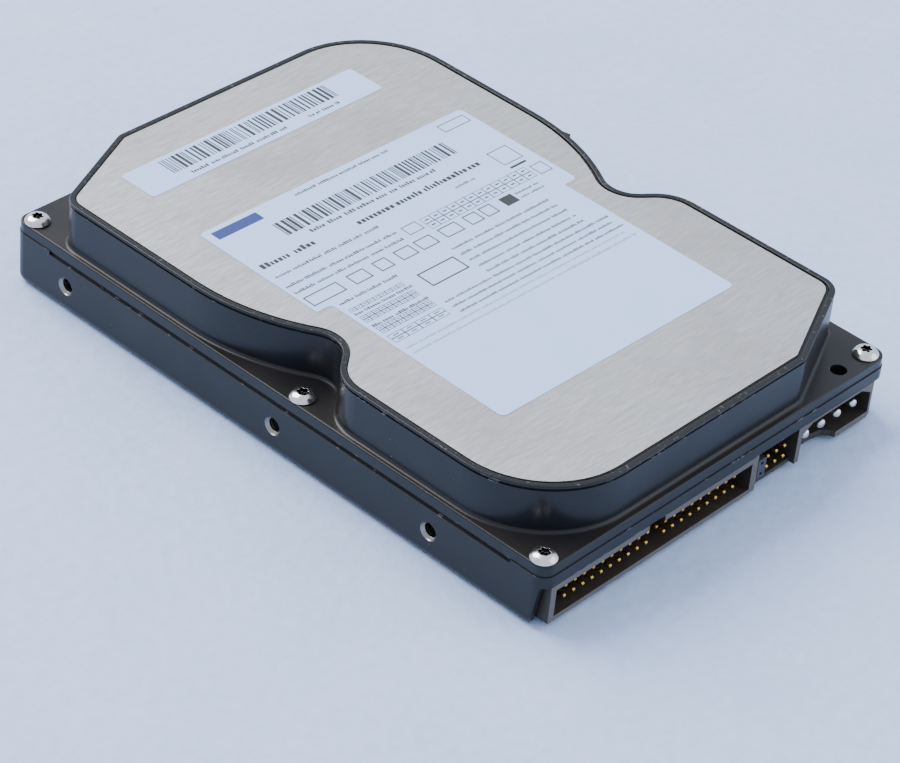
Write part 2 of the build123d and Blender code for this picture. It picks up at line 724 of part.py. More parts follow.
with BuildPart() as upper_magnet:
    with BuildSketch(around_pivot(UPPER_MAGNET_Z, COIL_SIDE)):
        add(sector(YOKE_IN_R + 1, YOKE_OUT_R - 1.5, -MAGNET_HALF_ANGLE, MAGNET_HALF_ANGLE))
    extrude(amount=MAGNET_T)

upper_magnet.part.label = "upper_magnet"
export_step(upper_magnet.part, "parts/upper_magnet.step")

with BuildPart() as upper_yoke:
    with BuildSketch(around_pivot(UPPER_YOKE_Z, COIL_SIDE)):
        add(sector(YOKE_IN_R, YOKE_OUT_R, -YOKE_HALF_ANGLE, YOKE_HALF_ANGLE))
        with Locations(*post_places):
            Circle(1.2, mode=Mode.SUBTRACT)
    extrude(amount=YOKE_T)

upper_yoke.part.label = "upper_yoke"
export_step(upper_yoke.part, "parts/upper_yoke.step")

with BuildPart() as yoke_posts:
    with BuildSketch(around_pivot(LOWER_YOKE_Z + YOKE_T, COIL_SIDE)):
        with Locations(*post_places):
            Circle(1.9)
    extrude(amount=UPPER_YOKE_Z - LOWER_YOKE_Z - YOKE_T)
    with BuildSketch(around_pivot(UPPER_YOKE_Z, COIL_SIDE)):
        with Locations(*post_places):
            Circle(1.0)
    extrude(amount=-2.5, mode=Mode.SUBTRACT)

yoke_posts.part.label = "yoke_posts"
export_step(yoke_posts.part, "parts/yoke_posts.step")

with BuildPart() as yoke_screws:
    with BuildSketch(around_pivot(UPPER_YOKE_Z + YOKE_T, COIL_SIDE)):
        with Locations(*post_places):
            Circle(2.0)
    extrude(amount=1.0)
    with BuildSketch(around_pivot(UPPER_YOKE_Z - 2.4, COIL_SIDE)):
        with Locations(*post_places):
            Circle(0.95)
    extrude(amount=2.4 + YOKE_T)
    with BuildSketch(around_pivot(UPPER_YOKE_Z + YOKE_T + 1.0, COIL_SIDE)):
        with Locations(*post_places):
            star_socket(0.95)
    extrude(amount=-0.6, mode=Mode.SUBTRACT)

yoke_screws.part.label = "yoke_screws"
export_step(yoke_screws.part, "parts/yoke_screws.step")

with BuildPart() as crash_stops:
    with BuildSketch(around_pivot(LOWER_YOKE_Z + YOKE_T + 0.3, COIL_SIDE)):
        with Locations(*post_places):
            ring(2.6, 1.95)
    extrude(amount=UPPER_YOKE_Z - LOWER_YOKE_Z - YOKE_T - 0.6)

crash_stops.part.label = "crash_stops"
export_step(crash_stops.part, "parts/crash_stops.step")

with BuildPart() as latch_magnet:
    with BuildSketch(around_pivot(LOWER_YOKE_Z + YOKE_T, COIL_SIDE)):
        with Locations(at(18.2, 38.8)):
            Circle(1.0)
    extrude(amount=3.0)

latch_magnet.part.label = "latch_magnet"
export_step(latch_magnet.part, "parts/latch_magnet.step")

# ---------------------------------------------------------------- actuator, turning half
BLOCK_R, SLEEVE_OUT_R, BEARING_OUT_R = 7.8, 6.0, 4.4
BLOCK_BOTTOM_Z, BLOCK_TOP_Z = 7.9, 13.3
ARM_T = 0.9
LOW_ARM_Z, HIGH_ARM_Z = 7.7, 12.0
ARM_END_R = 34.0
SPRING_T = 0.25
COIL_IN_R, COIL_OUT_R = 12.6, 23.4
COIL_HALF_ANGLE = 16.0
COIL_BAND = 2.6
COIL_ANGLE = PARK_ANGLE + COIL_FROM_ARM

with BuildPart() as pivot_bearings:
    for z in (BLOCK_BOTTOM_Z + 0.3, BLOCK_TOP_Z - 2.3):
        with BuildSketch(around_pivot(z)):
            ring(BEARING_OUT_R, PIVOT_R + 0.05)
        extrude(amount=2.0)

pivot_bearings.part.label = "pivot_bearings"
export_step(pivot_bearings.part, "parts/pivot_bearings.step")

with BuildPart() as pivot_sleeve:
    with BuildSketch(around_pivot(BLOCK_BOTTOM_Z)):
        ring(SLEEVE_OUT_R, BEARING_OUT_R)
    extrude(amount=BLOCK_TOP_Z - BLOCK_BOTTOM_Z)

pivot_sleeve.part.label = "pivot_sleeve"
export_step(pivot_sleeve.part, "parts/pivot_sleeve.step")

with BuildPart() as actuator_arm:
    with BuildSketch(around_pivot(BLOCK_BOTTOM_Z, PARK_ANGLE)):
        Circle(BLOCK_R)
    extrude(amount=BLOCK_TOP_Z - BLOCK_BOTTOM_Z)
    # one arm below the platter and one above it
    for z in (LOW_ARM_Z, HIGH_ARM_Z):
        with BuildSketch(around_pivot(z, PARK_ANGLE)):
            with BuildLine():
                Polyline(
                    (2, -6.8), (ARM_END_R, -2.9), (ARM_END_R, 2.9), (2, 6.8), close=True
                )
            make_face()
            with Locations((19.5, 0)):
                SlotOverall(11, 3.6, mode=Mode.SUBTRACT)
        extrude(amount=ARM_T)
    # fork that holds the coil
    with BuildSketch(around_pivot(COIL_Z, COIL_ANGLE)):
        add(sector(5.0, COIL_OUT_R + 1.0, -COIL_HALF_ANGLE - 2.5, COIL_HALF_ANGLE + 2.5))
        add(
            sector(COIL_IN_R, COIL_OUT_R, -COIL_HALF_ANGLE, COIL_HALF_ANGLE),
            mode=Mode.SUBTRACT,
        )
    extrude(amount=COIL_T)
    with BuildSketch(around_pivot(LOW_ARM_Z - 1)):
        Circle(SLEEVE_OUT_R)
    extrude(amount=HEIGHT, mode=Mode.SUBTRACT)

actuator_arm.part.label = "actuator_arm"
export_step(actuator_arm.part, "parts/actuator_arm.step")

with BuildPart() as voice_coil:
    inner_half = COIL_HALF_ANGLE - 8.0
    with BuildSketch(around_pivot(COIL_Z, COIL_ANGLE)):
        add(sector(COIL_IN_R, COIL_OUT_R, -COIL_HALF_ANGLE, COIL_HALF_ANGLE))
        add(
            sector(COIL_IN_R + COIL_BAND, COIL_OUT_R - COIL_BAND, -inner_half, inner_half),
            mode=Mode.SUBTRACT,
        )
    extrude(amount=COIL_T)

voice_coil.part.label = "voice_coil"
export_step(voice_coil.part, "parts/voice_coil.step")

with BuildPart() as preamp_chip:
    with BuildSketch(around_pivot(HIGH_ARM_Z + ARM_T, PARK_ANGLE)):
        with Locations((10.8, 0)):
            Rectangle(4.6, 5.4)
    extrude(amount=0.8)

preamp_chip.part.label = "preamp_chip"
export_step(preamp_chip.part, "parts/preamp_chip.step")

with BuildPart() as head_springs:
    for z in (LOW_ARM_Z + ARM_T, HIGH_ARM_Z - SPRING_T):
        with BuildSketch(around_pivot(z, PARK_ANGLE)):
            with BuildLine():
                Polyline(
                    (ARM_END_R - 5, -2.7), (ARM_END_R + 2, -2.7), (ARM_REACH + 1, -0.8),
                    (ARM_REACH + 1, 0.8), (ARM_END_R + 2, 2.7), (ARM_END_R - 5, 2.7), close=True,
                )
            make_face()
            with Locations((ARM_END_R + 5.5, 0)):
                SlotOverall(4.4, 1.8, mode=Mode.SUBTRACT)
        extrude(amount=SPRING_T)

head_springs.part.label = "head_springs"
export_step(head_springs.part, "parts/head_springs.step")

with BuildPart() as head_sliders:
    for low, high in (
        (LOW_ARM_Z + ARM_T + SPRING_T, PLATTER_Z - 0.3),
        (PLATTER_TOP_Z + 0.3, HIGH_ARM_Z - SPRING_T),
    ):
        with BuildSketch(around_pivot(low, PARK_ANGLE)):
            with Locations((ARM_REACH, 0)):
                Rectangle(1.25, 1.0)
        extrude(amount=high - low)

head_sliders.part.label = "head_sliders"
export_step(head_sliders.part, "parts/head_sliders.step")

# ---------------------------------------------------------------- flex cable, filters, desiccant
FLEX_T = 0.3
BRACKET_Z = 9.0

with BuildPart() as deck_connector:
    with BuildSketch(Plane.XY.offset(BOARD_TOP_Z)):
        with Locations((PORT_X, PORT_Y)):
            RectangleRounded(PORT_W - 0.4, PORT_L - 0.4, 0.6)
    extrude(amount=BRACKET_Z - BOARD_TOP_Z)

deck_connector.part.label = "deck_connector"
export_step(deck_connector.part, "parts/deck_connector.step")

with BuildPart() as flex_bracket:
    with BuildSketch(Plane.XY.offset(BRACKET_Z)):
        with Locations((PORT_X, PORT_Y)):
            RectangleRounded(PORT_W + 5, PORT_L + 1, 1)
    extrude(amount=0.8)
    # feet down to the deck on both sides of the connector
    with BuildSketch(Plane.XY.offset(DECK_TOP_Z)):
        with Locations((PORT_X - PORT_W / 2 - 1.6, PORT_Y), (PORT_X + PORT_W / 2 + 1.6, PORT_Y)):
            Rectangle(1.6, PORT_L)
    extrude(amount=BRACKET_Z - DECK_TOP_Z)

flex_bracket.part.label = "flex_bracket"
export_step(flex_bracket.part, "parts/flex_bracket.step")

with BuildPart() as flex_cable:
    with BuildSketch(Plane.XY.offset(BRACKET_Z + 0.8)):
        with BuildLine():
            ThreePointArc(
                (PIVOT_X + 6.6, PIVOT_Y - 5.4), (PIVOT_X + 9.6, PIVOT_Y - 12.0), (PORT_X - 3, PORT_Y)
            )
        trace(line_width=FLEX_T)
    extrude(amount=3.0)

flex_cable.part.label = "flex_cable"
export_step(flex_cable.part, "parts/flex_cable.step")

with BuildPart() as recirculation_filter:
    with BuildSketch(Plane((37.0, -27.0, DECK_TOP_Z), x_dir=(0.6, 1, 0), z_dir=(0, 0, 1))):
        RectangleRounded(12, 3.2, 0.8)
    extrude(amount=6.6)

recirculation_filter.part.label = "recirculation_filter"
export_step(recirculation_filter.part, "parts/recirculation_filter.step")

with BuildPart() as breather_filter:
    with BuildSketch(Plane.XY.offset(DECK_TOP_Z)):
        with Locations((BREATHER_X, BREATHER_Y)):
            Circle(7.0)
            Circle(0.8, mode=Mode.SUBTRACT)
    extrude(amount=4.0)
    fillet(breather_filter.edges().filter_by(GeomType.CIRCLE).group_by(Axis.Z)[-1].sort_by(
        SortBy.RADIUS)[-1], radius=0.8)

breather_filter.part.label = "breather_filter"
export_step(breather_filter.part, "parts/breather_filter.step")

with BuildPart() as desiccant_pack:
    with BuildSketch(Plane.XY.offset(DECK_TOP_Z)):
        with Locations((13.0, -40.5)):
            RectangleRounded(12.0, 7.0, 1.2)
    extrude(amount=3.4)
    fillet(desiccant_pack.edges().group_by(Axis.Z)[-1], radius=1.0)

desiccant_pack.part.label = "desiccant_pack"
export_step(desiccant_pack.part, "parts/desiccant_pack.step")

# ---------------------------------------------------------------- connector pins
PIN_LEG_Y = {0: -62.2, 1: -60.4}  # the lower row turns down first
PIN_END_Z = 1.2
row_z = [IDE_LOW_Z, IDE_LOW_Z + PIN_PITCH]
ide_pin_places = [
    (IDE_FIRST_X + PIN_PITCH * column, row)
    for column in range(IDE_COLUMNS)
    for row in (0, 1)
    if (column, row) != (MISSING_COLUMN, 0)
]
jumper_pin_places = [
    (JUMPER_FIRST_X + PIN_PITCH * column, row) for column in range(JUMPER_COLUMNS) for row in (0, 1)
]
power_pin_x = [POWER_FIRST_X + POWER_PITCH * i for i in range(4)]
POWER_LEG_Y = -61.6
POWER_LEG_R = 0.7


def bent_pins(places, tip_y):
    """Square pins that point to the front and turn down through the board, as closed profiles."""
    for x, row in places:
        leg_y = PIN_LEG_Y[row]
        z = row_z[row]
        half = PIN_SIDE / 2
        with BuildSketch(Plane.YZ.offset(x - half), mode=Mode.PRIVATE) as bent:
            with BuildLine():
                Polyline(
                    (tip_y, z - half / 2),
                    (tip_y + 0.3, z - half),
                    (leg_y - half, z - half),
                    (leg_y - half, PIN_END_Z),
                    (leg_y + half, PIN_END_Z),
                    (leg_y + half, z + half),
                    (tip_y + 0.3, z + half),
                    (tip_y, z + half / 2),
                    close=True,
                )
            make_face()
        yield bent.sketch


with BuildPart() as ide_pins:
    for profile in bent_pins(ide_pin_places, PIN_TIP_Y):
        extrude(profile, amount=PIN_SIDE)

ide_pins.part.label = "ide_pins"
export_step(ide_pins.part, "parts/ide_pins.step")

with BuildPart() as jumper_pins:
    for profile in bent_pins(jumper_pin_places, JUMPER_TIP_Y):
        extrude(profile, amount=PIN_SIDE)

jumper_pins.part.label = "jumper_pins"
export_step(jumper_pins.part, "parts/jumper_pins.step")

with BuildPart() as power_pins:
    for x in power_pin_x:
        with BuildSketch(Plane(origin=(x, POWER_LEG_Y, POWER_Z), z_dir=(0, -1, 0))):
            Circle(POWER_PIN_R)
        extrude(amount=POWER_LEG_Y - POWER_TIP_Y)
    fillet(power_pins.edges().filter_by(GeomType.CIRCLE).group_by(Axis.Y)[0], radius=0.9)
    for x in power_pin_x:
        with BuildSketch(Plane.XY.offset(PIN_END_Z)):
            with Locations((x, POWER_LEG_Y - POWER_LEG_R)):
                Circle(POWER_LEG_R)
        extrude(amount=POWER_Z - PIN_END_Z)

power_pins.part.label = "power_pins"
export_step(power_pins.part, "parts/power_pins.step")

# ---------------------------------------------------------------- connector block
SOCKET_BACK_Y = -65.8
DATA_SOCKET_X = (-47.0, 9.1)
DATA_SOCKET_Z = (2.2, 8.4)
POWER_SOCKET_X = (24.45, 46.3)
POWER_SOCKET_Z = (2.55, 9.2)
POWER_CLIP_X, POWER_CLIP_Z = 3.2, 1.8  # clipped upper corners of the power socket
KEY_X = (-21.3, -16.8)
KEY_H = 3.4
PIN_HOLE = PIN_SIDE + 0.04
JUMPER_FLOOR_Y = -71.3
JUMPER_FLOOR_T = 0.9
POWER_CHAMFER = 0.7
POWER_FLOOR_Y = -70.0  # the floor of the power socket is cut back to here beside the jumpers
POWER_FLOOR_EDGE = [(31.5, -70.1), (34.4, -70.6), (35.9, -72.1)]
POWER_FLOOR_END_X = 36.4

with BuildPart() as connector_housing:
    # shells: wide data shell and the insulator wall behind all three sections
    with BuildSketch(Plane.XY.offset(BLOCK_Z[0])):
        with Locations((sum(IDE_X) / 2, (BLOCK_FRONT_Y + BLOCK_BACK_Y) / 2)):
            Rectangle(IDE_X[1] - IDE_X[0], BLOCK_BACK_Y - BLOCK_FRONT_Y)
        with Locations(((IDE_X[1] + POWER_X[1]) / 2, (SOCKET_BACK_Y + BLOCK_BACK_Y) / 2)):
            Rectangle(POWER_X[1] - IDE_X[1], BLOCK_BACK_Y - SOCKET_BACK_Y)
    extrude(amount=BLOCK_Z[1] - BLOCK_Z[0])
    # power shell with its clipped corner
    with BuildSketch(Plane.XZ.offset(-BLOCK_BACK_Y)):
        with BuildLine():
            Polyline(
                (POWER_X[0], BLOCK_Z[0]), (POWER_X[0], BLOCK_Z[1]), (POWER_X[1], BLOCK_Z[1]),
                (POWER_X[1], BLOCK_Z[0] + POWER_CHAMFER), (POWER_X[1] - POWER_CHAMFER, BLOCK_Z[0]),
                close=True,
            )
        make_face()
    extrude(amount=BLOCK_BACK_Y - BLOCK_FRONT_Y)
    # thin floor under the jumper pins
    with BuildSketch(Plane.XY.offset(BLOCK_Z[0])):
        with Locations(((IDE_X[1] + POWER_X[0]) / 2, (JUMPER_FLOOR_Y + SOCKET_BACK_Y) / 2)):
            Rectangle(POWER_X[0] - IDE_X[1] + 1, SOCKET_BACK_Y - JUMPER_FLOOR_Y + 1)
    extrude(amount=JUMPER_FLOOR_T)
    # data socket and its key slot
    with BuildSketch(Plane.XZ.offset(-SOCKET_BACK_Y)):
        with Locations((sum(DATA_SOCKET_X) / 2, sum(DATA_SOCKET_Z) / 2)):
            Rectangle(DATA_SOCKET_X[1] - DATA_SOCKET_X[0], DATA_SOCKET_Z[1] - DATA_SOCKET_Z[0])
        with Locations((sum(KEY_X) / 2, DATA_SOCKET_Z[1])):
            Rectangle(KEY_X[1] - KEY_X[0], KEY_H)
    extrude(amount=SOCKET_BACK_Y - BLOCK_FRONT_Y + 1, mode=Mode.SUBTRACT)
    # power socket, its two upper corners clipped
    left, right = POWER_SOCKET_X
    low, high = POWER_SOCKET_Z
    with BuildSketch(Plane.XZ.offset(-SOCKET_BACK_Y)):
        with BuildLine():
            Polyline(
                (left, low), (right, low), (right, high - POWER_CLIP_Z), (right - POWER_CLIP_X, high),
                (left + POWER_CLIP_X, high), (left, high - POWER_CLIP_Z), close=True,
            )
        make_face()
    extrude(amount=SOCKET_BACK_Y - BLOCK_FRONT_Y + 1, mode=Mode.SUBTRACT)
    # its floor is cut back beside the jumpers
    with BuildSketch(Plane.XY.offset(BLOCK_Z[0] - 0.1)):
        with BuildLine():
            Polyline(
                (left, FRONT_Y), (left, POWER_FLOOR_Y), *POWER_FLOOR_EDGE,
                (POWER_FLOOR_END_X, FRONT_Y), close=True,
            )
        make_face()
    extrude(amount=low - BLOCK_Z[0] + 0.2, mode=Mode.SUBTRACT)
    # holes for the pins in the insulator wall
    with BuildSketch(Plane.XZ.offset(-BLOCK_BACK_Y - 0.5)):
        with Locations(*[(x, row_z[row]) for x, row in ide_pin_places + jumper_pin_places]):
            Rectangle(PIN_HOLE, PIN_HOLE)
        with Locations(*[(x, POWER_Z) for x in power_pin_x]):
            Circle(POWER_PIN_R + 0.02)
    extrude(amount=5, mode=Mode.SUBTRACT)

connector_housing.part.label = "connector_housing"
export_step(connector_housing.part, "parts/connector_housing.step")

CAP_W, CAP_Y = 2.4, (-72.9, -66.6)
CAP_MARGIN = 0.58
CAP_Z = 5.7

with BuildPart() as jumper_cap:
    with BuildSketch(Plane.XZ.offset(-CAP_Y[1])):
        with Locations((JUMPER_FIRST_X, CAP_Z)):
            RectangleRounded(CAP_W, PIN_PITCH + PIN_SIDE + 2 * CAP_MARGIN, 0.3)
        with Locations(*[(JUMPER_FIRST_X, z) for z in row_z]):
            Rectangle(PIN_SIDE + 0.12, PIN_SIDE + 0.12, mode=Mode.SUBTRACT)
    extrude(amount=CAP_Y[1] - CAP_Y[0])

jumper_cap.part.label = "jumper_cap"
export_step(jumper_cap.part, "parts/jumper_cap.step")

# ---------------------------------------------------------------- circuit board
BOARD_CUT_R = 17.0

with BuildPart() as circuit_board:
    with BuildSketch(Plane.XY.offset(BOARD_Z)):
        with Locations((0, sum(BOARD_Y) / 2)):
            RectangleRounded(2 * BOARD_HALF_W, BOARD_Y[1] - BOARD_Y[0], 1.5)
        with Locations((SPIN_X, SPIN_Y)):
            Circle(BOARD_CUT_R, mode=Mode.SUBTRACT)
        with Locations(*[(x, PIN_LEG_Y[row]) for x, row in ide_pin_places + jumper_pin_places]):
            Circle(0.5, mode=Mode.SUBTRACT)
        with Locations(*[(x, POWER_LEG_Y - POWER_LEG_R) for x in power_pin_x]):
            Circle(POWER_LEG_R + 0.05, mode=Mode.SUBTRACT)
        with Locations(*board_screw_places):
            Circle(BOARD_SCREW_R + 0.2, mode=Mode.SUBTRACT)
    extrude(amount=BOARD_T)

circuit_board.part.label = "circuit_board"
export_step(circuit_board.part, "parts/circuit_board.step")

with BuildPart() as board_screws:
    with BuildSketch(Plane.XY.offset(BOARD_Z)):
        with Locations(*board_screw_places):
            Circle(2.3)
    extrude(amount=-1.0)
    with BuildSketch(Plane.XY.offset(BOARD_Z - 1.0)):
        with Locations(*board_screw_places):
            star_socket(1.0)
    extrude(amount=0.6, mode=Mode.SUBTRACT)
    with BuildSketch(Plane.XY.offset(BOARD_Z)):
        with Locations(*board_screw_places):
            Circle(BOARD_SCREW_R)
    extrude(amount=3.7)

board_screws.part.label = "board_screws"
export_step(board_screws.part, "parts/board_screws.step")

with BuildPart() as board_insulator:
    with BuildSketch(Plane.XY.offset(BOARD_TOP_Z)):
        with Locations((0, -24.5)):
            RectangleRounded(76, 39, 4)
        with Locations(board_screw_places[-1]):
            Circle(3.2, mode=Mode.SUBTRACT)
    extrude(amount=1.1)

board_insulator.part.label = "board_insulator"
export_step(board_insulator.part, "parts/board_insulator.step")

# chips under the board: node name, place, size and thickness
chips = [
    ("controller_chip", (-13.0, -21.0), (20.0, 20.0), 1.4),
    ("motor_driver_chip", (24.0, -12.0), (12.0, 12.0), 1.3),
    ("cache_chip", (17.0, -38.0), (18.4, 10.2), 1.0),
    ("flash_chip", (-33.0, -40.0), (8.0, 6.0), 1.1),
    ("crystal", (-32.0, -14.0), (11.0, 4.6), 1.3),
    ("motor_connector", (SPIN_X, -1.5), (8.0, 3.6), 1.3),
]
for node, place, (size_x, size_y), thick in chips:
    with BuildPart() as chip:
        with BuildSketch(Plane.XY.offset(BOARD_Z - thick)):
            with Locations(place):
                RectangleRounded(size_x, size_y, 0.3)
        extrude(amount=thick)
        chamfer(chip.faces().sort_by(Axis.Z)[0].edges(), length=0.15)
    chip.part.label = node
    export_step(chip.part, f"parts/{node}.step")

capacitor_places = [(30.0, -50.0), (36.0, -44.0), (36.0, -34.0), (8.0, -12.0), (-27.0, 2.0), (33.0, 2.0)]
with BuildPart() as tantalum_capacitors:
    with BuildSketch(Plane.XY.offset(BOARD_Z - 1.3)):
        with Locations(*capacitor_places):
            Rectangle(3.2, 6.0)
    extrude(amount=1.3)

tantalum_capacitors.part.label = "tantalum_capacitors"
export_step(tantalum_capacitors.part, "parts/tantalum_capacitors.step")

with BuildPart() as chip_resistors:
    with BuildSketch(Plane.XY.offset(BOARD_Z - 0.5)):
        with Locations((-18.0, -50.5), (15.0, -25.5), (-32.5, -25.0)):
            with GridLocations(3.0, 3.6, 6, 2):
                Rectangle(1.25, 2.0)
    extrude(amount=0.5)

chip_resistors.part.label = "chip_resistors"
export_step(chip_resistors.part, "parts/chip_resistors.step")

# flat cable from the motor to its connector on the board
with BuildPart() as motor_flex:
    with BuildSketch(Plane.YZ.offset(SPIN_X - 3)):
        with BuildLine():
            Polyline(
                (12.0, MOTOR_BOTTOM_Z), (7.4, MOTOR_BOTTOM_Z), (5.4, BOARD_Z), (0.4, BOARD_Z),
                (0.4, BOARD_Z - 0.2), (5.5, BOARD_Z - 0.2), (7.5, MOTOR_BOTTOM_Z - 0.2),
                (12.0, MOTOR_BOTTOM_Z - 0.2), close=True,
            )
        make_face()
    extrude(amount=6)

motor_flex.part.label = "motor_flex"
export_step(motor_flex.part, "parts/motor_flex.step")
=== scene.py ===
"""Looks for the hard disk drive: materials, label printing, floor, light and camera."""

import json
import math
import random

import bmesh
import bpy
from mathutils import Matrix, Vector


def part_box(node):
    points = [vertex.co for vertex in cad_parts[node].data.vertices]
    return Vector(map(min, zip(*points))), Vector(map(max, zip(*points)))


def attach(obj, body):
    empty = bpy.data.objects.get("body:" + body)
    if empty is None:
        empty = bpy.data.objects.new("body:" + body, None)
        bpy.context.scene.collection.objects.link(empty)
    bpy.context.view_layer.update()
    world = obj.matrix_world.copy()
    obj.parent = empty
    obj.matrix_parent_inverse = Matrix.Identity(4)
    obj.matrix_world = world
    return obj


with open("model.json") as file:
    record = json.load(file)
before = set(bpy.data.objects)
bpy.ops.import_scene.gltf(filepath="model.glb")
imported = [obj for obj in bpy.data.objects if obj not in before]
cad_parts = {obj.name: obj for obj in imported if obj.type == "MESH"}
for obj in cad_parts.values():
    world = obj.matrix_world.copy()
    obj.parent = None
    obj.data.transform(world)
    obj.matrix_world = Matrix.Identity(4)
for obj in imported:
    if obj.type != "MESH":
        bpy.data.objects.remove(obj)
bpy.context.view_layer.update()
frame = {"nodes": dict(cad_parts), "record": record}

MM = 0.001

# ---------------------------------------------------------------- camera
AZIMUTH, ELEVATION, ROLL = -49.7, 36.19, 5.68  # degrees
TARGET = Vector((-13.3, -13.6, 13.0)) * MM
DISTANCE = 638.7 * MM
LENS, SENSOR = 130.645, 36.0  # mm
SHIFT_Y = -0.0367  # of the picture's width


def add_camera():
    """A long lens from above the near left corner."""
    a, e, r = (math.radians(v) for v in (AZIMUTH, ELEVATION, ROLL))
    back = Vector((math.sin(a) * math.cos(e), -math.cos(a) * math.cos(e), math.sin(e)))
    level = Vector((math.cos(a), math.sin(a), 0))
    upright = back.cross(level)
    right = level * math.cos(r) + upright * math.sin(r)
    up = back.cross(right)
    data = bpy.data.cameras.new("camera")
    data.lens, data.sensor_width, data.shift_y = LENS, SENSOR, SHIFT_Y
    data.clip_start, data.clip_end = 0.01, 50
    camera = bpy.data.objects.new("camera", data)
    camera.matrix_world = Matrix.Translation(TARGET + back * DISTANCE) @ Matrix(
        (right, up, back)
    ).transposed().to_4x4()
    bpy.context.scene.collection.objects.link(camera)
    bpy.context.scene.camera = camera


# ---------------------------------------------------------------- node helper
class Shade:
    """A material, with short calls for the nodes that several materials share."""

    def __init__(self, name, color, roughness=0.5, metallic=0.0, **constants):
        self.material = bpy.data.materials.new(name)
        self.material.use_nodes = True
        self.tree = self.material.node_tree
        self.shader = self.tree.nodes["Principled BSDF"]
        self.set("Base Color", (*color, 1))
        self.set("Roughness", roughness)
        self.set("Metallic", metallic)
        for socket, value in constants.items():
            self.set(socket.replace("_", " "), value)
        self.place = self.tree.nodes.new("ShaderNodeTexCoord").outputs["Object"]

    def set(self, socket, value):
        """A constant, or another node's output, into one of the shader's sockets."""
        self.put(self.shader.inputs[socket], value)

    def put(self, target, value):
        if isinstance(value, bpy.types.NodeSocket):
            self.tree.links.new(value, target)
        else:
            target.default_value = value

    def scaled(self, stretch):
        node = self.tree.nodes.new("ShaderNodeMapping")
        node.inputs["Scale"].default_value = stretch
        self.put(node.inputs["Vector"], self.place)
        return node.outputs[0]

    def noise(self, size_mm, detail=2.0, stretch=(1, 1, 1)):
        """Noise from 0 to 1 whose lumps are about this size."""
        node = self.tree.nodes.new("ShaderNodeTexNoise")
        node.inputs["Scale"].default_value = 1 / (size_mm * MM)
        node.inputs["Detail"].default_value = detail
        self.put(node.inputs["Vector"], self.scaled(stretch))
        return node.outputs[0]

    def cells(self, size_mm):
        """Distance to the middle of the nearest of many scattered points."""
        node = self.tree.nodes.new("ShaderNodeTexVoronoi")
        node.inputs["Scale"].default_value = 1 / (size_mm * MM)
        self.put(node.inputs["Vector"], self.place)
        return node.outputs["Distance"]

    def waves(self, size_mm, direction="X"):
        """Even bands across one axis, this far apart."""
        node = self.tree.nodes.new("ShaderNodeTexWave")
        node.bands_direction = direction
        node.inputs["Scale"].default_value = 1 / (size_mm * MM) / WAVE_RATE * math.pi * 2
        self.put(node.inputs["Vector"], self.place)
        return node.outputs["Fac"]

    def span(self, value, low, high, to_low=0.0, to_high=1.0):
        """The value, stretched from one range to another and held at its ends."""
        node = self.tree.nodes.new("ShaderNodeMapRange")
        for socket, v in zip(node.inputs, (value, low, high, to_low, to_high)):
            self.put(socket, v)
        return node.outputs[0]

    def math(self, operation, a, b):
        node = self.tree.nodes.new("ShaderNodeMath")
        node.operation = operation
        self.put(node.inputs[0], a)
        self.put(node.inputs[1], b)
        return node.outputs[0]

    def mix(self, share, first, second):
        """A colour between two."""
        node = self.tree.nodes.new("ShaderNodeMix")
        node.data_type = "RGBA"
        self.put(node.inputs["Factor"], share)
        for socket, value in ((node.inputs[6], first), (node.inputs[7], second)):
            self.put(socket, (*value, 1) if isinstance(value, tuple) else value)
        return node.outputs[2]

    def axis(self, index):
        """One coordinate, in metres."""
        node = self.tree.nodes.new("ShaderNodeSeparateXYZ")
        self.put(node.inputs[0], self.place)
        return node.outputs[index]

    def past(self, index, start_mm, end_mm):
        """0 up to the first place along an axis, rising to 1 at the second."""
        return self.span(self.axis(index), start_mm * MM, end_mm * MM)

    def facing(self, index):
        """One coordinate of the surface's normal."""
        node = self.tree.nodes.new("ShaderNodeSeparateXYZ")
        geometry = self.tree.nodes.new("ShaderNodeNewGeometry")
        self.put(node.inputs[0], geometry.outputs["Normal"])
        return node.outputs[index]

    def near(self, point_mm, stretch, radius_mm):
        """1 within this distance of a point, measured along the axes that stretch keeps."""
        node = self.tree.nodes.new("ShaderNodeVectorMath")
        node.operation = "DISTANCE"
        self.put(node.inputs[0], self.scaled(stretch))
        self.put(node.inputs[1], tuple(v * MM for v in point_mm))
        reach = radius_mm * MM
        return self.span(node.outputs["Value"], reach, reach * 0.97)

    def both(self, a, b):
        return self.math("MULTIPLY", a, b)

    def either(self, a, b):
        return self.math("MAXIMUM", a, b)

    def edges(self, radius_mm):
        """1 along sharp edges and 0 on flat faces."""
        bevel = self.tree.nodes.new("ShaderNodeBevel")
        bevel.samples = 4
        bevel.inputs["Radius"].default_value = radius_mm * MM
        geometry = self.tree.nodes.new("ShaderNodeNewGeometry")
        dot = self.tree.nodes.new("ShaderNodeVectorMath")
        dot.operation = "DOT_PRODUCT"
        self.put(dot.inputs[0], bevel.outputs[0])
        self.put(dot.inputs[1], geometry.outputs["Normal"])
        return self.span(dot.outputs["Value"], 0.98, 0.8)

    def bump(self, height, depth_mm, strength=1.0, round_edges_mm=0.0):
        """Sets the shader's normal from a height, with edges rounded a little."""
        node = self.tree.nodes.new("ShaderNodeBump")
        node.inputs["Strength"].default_value = strength
        node.inputs["Distance"].default_value = depth_mm * MM
        self.put(node.inputs["Height"], height)
        if round_edges_mm:
            bevel = self.tree.nodes.new("ShaderNodeBevel")
            bevel.samples = 6
            bevel.inputs["Radius"].default_value = round_edges_mm * MM
            self.put(node.inputs["Normal"], bevel.outputs[0])
        self.set("Normal", node.outputs[0])


